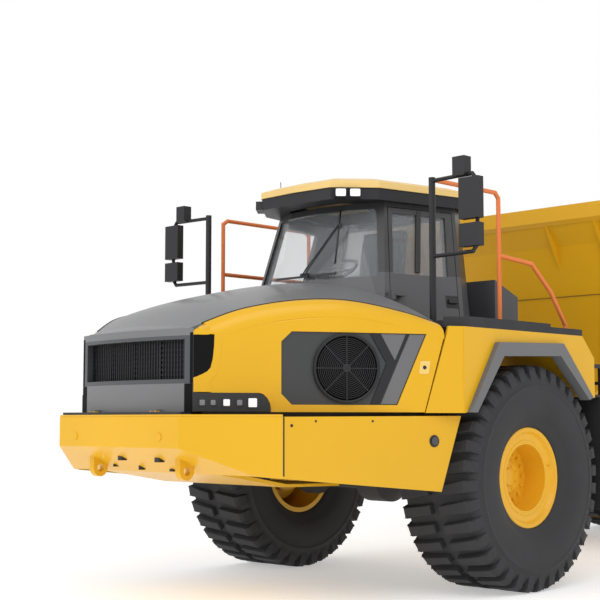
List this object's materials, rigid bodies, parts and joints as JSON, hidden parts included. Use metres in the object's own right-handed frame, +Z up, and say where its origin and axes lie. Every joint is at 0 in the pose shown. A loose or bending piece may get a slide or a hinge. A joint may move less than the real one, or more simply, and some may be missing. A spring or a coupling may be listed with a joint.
{
  "type": "articulated dump truck",
  "caption": "Articulated hauler with a pivoting hitch, a tilting hood, a cab and a hoist-tipped open body on large lugged wheels.",
  "frame": {"origin": "middle of the machine on the ground", "axes": "+X to the machine's left side, -Y forward, +Z up"},
  "size_m": [4.21, 12.04, 3.87],
  "materials": {
    "yellow_paint": "satin yellow enamel",
    "grey_paint": "matt mid grey",
    "dark_paint": "satin dark grey",
    "cast_black": "painted casting",
    "black_steel": "matt black",
    "black_plastic": "moulded",
    "flap_rubber": "matt",
    "orange_paint": "satin orange",
    "window": "clear tinted",
    "lamp_red": "lens",
    "rod_chrome": "ground and plated",
    "tyre": "matt rubber",
    "rim_paint": "satin yellow enamel"
  },
  "bodies": {
    "front_unit": {"front_frame": "cast_black", "front_axle": "cast_black", "engine": "cast_black", "bumper": "yellow_paint", "side_panels": "yellow_paint", "fenders": "yellow_paint", "arch_trims": "grey_paint", "mudflaps": "flap_rubber", "deck": "black_steel", "ladder": "black_steel", "handrails": "orange_paint", "cab_shell": "dark_paint", "cab_roof": "dark_paint", "roof_cap": "yellow_paint", "cab_glass": "window", "cab_interior": "black_plastic", "roof_lamps": "black_plastic", "mirrors": "black_steel", "tank": "dark_paint"},
    "hood": {"hood_sides": "yellow_paint", "hood_top": "grey_paint", "grille_frame": "dark_paint", "grille": "black_steel", "intakes": "dark_paint", "headlamps": "black_plastic"},
    "door": {"door": "dark_paint", "door_glass": "window"},
    "hitch": {"hitch": "cast_black"},
    "rear_unit": {"rear_frame": "yellow_paint", "rear_axles": "cast_black", "bogie_beams": "yellow_paint", "tail_lamps": "lamp_red"},
    "tipper": {"body_floor": "yellow_paint", "body_sides": "yellow_paint", "body_front": "yellow_paint", "body_beams": "yellow_paint"},
    "hoist_barrels": {"hoist_barrels": "yellow_paint"},
    "hoist_rods": {"hoist_rods": "rod_chrome"},
    "steer_barrel_left": {"steer_barrel_left": "yellow_paint"},
    "steer_rod_left": {"steer_rod_left": "rod_chrome"},
    "steer_barrel_right": {"steer_barrel_right": "yellow_paint"},
    "steer_rod_right": {"steer_rod_right": "rod_chrome"},
    "wheel_front_left": {"tyre_front_left": "tyre", "rim_front_left": "rim_paint"},
    "wheel_front_right": {"tyre_front_right": "tyre", "rim_front_right": "rim_paint"},
    "wheel_mid_left": {"tyre_mid_left": "tyre", "rim_mid_left": "rim_paint"},
    "wheel_mid_right": {"tyre_mid_right": "tyre", "rim_mid_right": "rim_paint"},
    "wheel_rear_left": {"tyre_rear_left": "tyre", "rim_rear_left": "rim_paint"},
    "wheel_rear_right": {"tyre_rear_right": "tyre", "rim_rear_right": "rim_paint"}
  },
  "joints": [
    {"name": "hood_tilt", "type": "hinge", "parent": "front_unit", "child": "hood", "pos_m": [0, -5.945, 1.61], "axis": [1, 0, 0], "range_deg": [0, 65]},
    {"name": "door_swing", "type": "hinge", "parent": "front_unit", "child": "door", "pos_m": [0.965, -3.6, 2.6], "axis": [0, 0, -1], "range_deg": [0, 70]},
    {"name": "steer", "type": "hinge", "parent": "front_unit", "child": "hitch", "pos_m": [0, -1.22, 1.3], "axis": [0, 0, 1], "range_deg": [-45, 45]},
    {"name": "roll", "type": "hinge", "parent": "hitch", "child": "rear_unit", "pos_m": [0, -1.22, 1.3], "axis": [0, 1, 0], "range_deg": [-15, 15]},
    {"name": "bed_tip", "type": "hinge", "parent": "rear_unit", "child": "tipper", "pos_m": [0, 4.82, 1.5], "axis": [-1, 0, 0], "range_deg": [0, 70]},
    {"name": "hoist_swing", "type": "hinge", "parent": "rear_unit", "child": "hoist_barrels", "pos_m": [0, 3.3, 1.2], "axis": [-1, 0, 0], "range_deg": [0, 84]},
    {"name": "hoist_slide", "type": "slide", "parent": "hoist_barrels", "child": "hoist_rods", "axis": [0, -0.959, 0.2833], "range_m": [0, 1.68]},
    {"name": "steer_swing_left", "type": "hinge", "parent": "front_unit", "child": "steer_barrel_left", "pos_m": [0.66, -2.52, 1.3], "axis": [0, 0, 1], "range_deg": [-5, 5]},
    {"name": "steer_slide_left", "type": "slide", "parent": "steer_barrel_left", "child": "steer_rod_left", "axis": [-0.0733, 0.9973, 0], "range_m": [-0.4, 0.4]},
    {"name": "steer_swing_right", "type": "hinge", "parent": "front_unit", "child": "steer_barrel_right", "pos_m": [-0.66, -2.52, 1.3], "axis": [0, 0, 1], "range_deg": [-5, 5]},
    {"name": "steer_slide_right", "type": "slide", "parent": "steer_barrel_right", "child": "steer_rod_right", "axis": [0.0733, 0.9973, 0], "range_m": [-0.4, 0.4]},
    {"name": "spin_front_left", "type": "hinge", "parent": "front_unit", "child": "wheel_front_left", "pos_m": [1.48, -2.67, 1.03], "axis": [1, 0, 0], "continuous": true},
    {"name": "spin_front_right", "type": "hinge", "parent": "front_unit", "child": "wheel_front_right", "pos_m": [-1.48, -2.67, 1.03], "axis": [1, 0, 0], "continuous": true},
    {"name": "spin_mid_left", "type": "hinge", "parent": "rear_unit", "child": "wheel_mid_left", "pos_m": [1.48, 2.23, 1.03], "axis": [1, 0, 0], "continuous": true},
    {"name": "spin_mid_right", "type": "hinge", "parent": "rear_unit", "child": "wheel_mid_right", "pos_m": [-1.48, 2.23, 1.03], "axis": [1, 0, 0], "continuous": true},
    {"name": "spin_rear_left", "type": "hinge", "parent": "rear_unit", "child": "wheel_rear_left", "pos_m": [1.48, 4.37, 1.03], "axis": [1, 0, 0], "continuous": true},
    {"name": "spin_rear_right", "type": "hinge", "parent": "rear_unit", "child": "wheel_rear_right", "pos_m": [-1.48, 4.37, 1.03], "axis": [1, 0, 0], "continuous": true}
  ],
  "couplings": [
    {"joint": "hoist_swing", "follows": "bed_tip", "ratio": 1.1703},
    {"joint": "hoist_slide", "follows": "bed_tip", "m_per_rad": 1.3617},
    {"joint": "steer_swing_left", "follows": "steer", "ratio": 0.012},
    {"joint": "steer_swing_right", "follows": "steer", "ratio": 0.012},
    {"joint": "steer_slide_left", "follows": "steer", "m_per_rad": 0.505},
    {"joint": "steer_slide_right", "follows": "steer", "m_per_rad": -0.505}
  ]
}
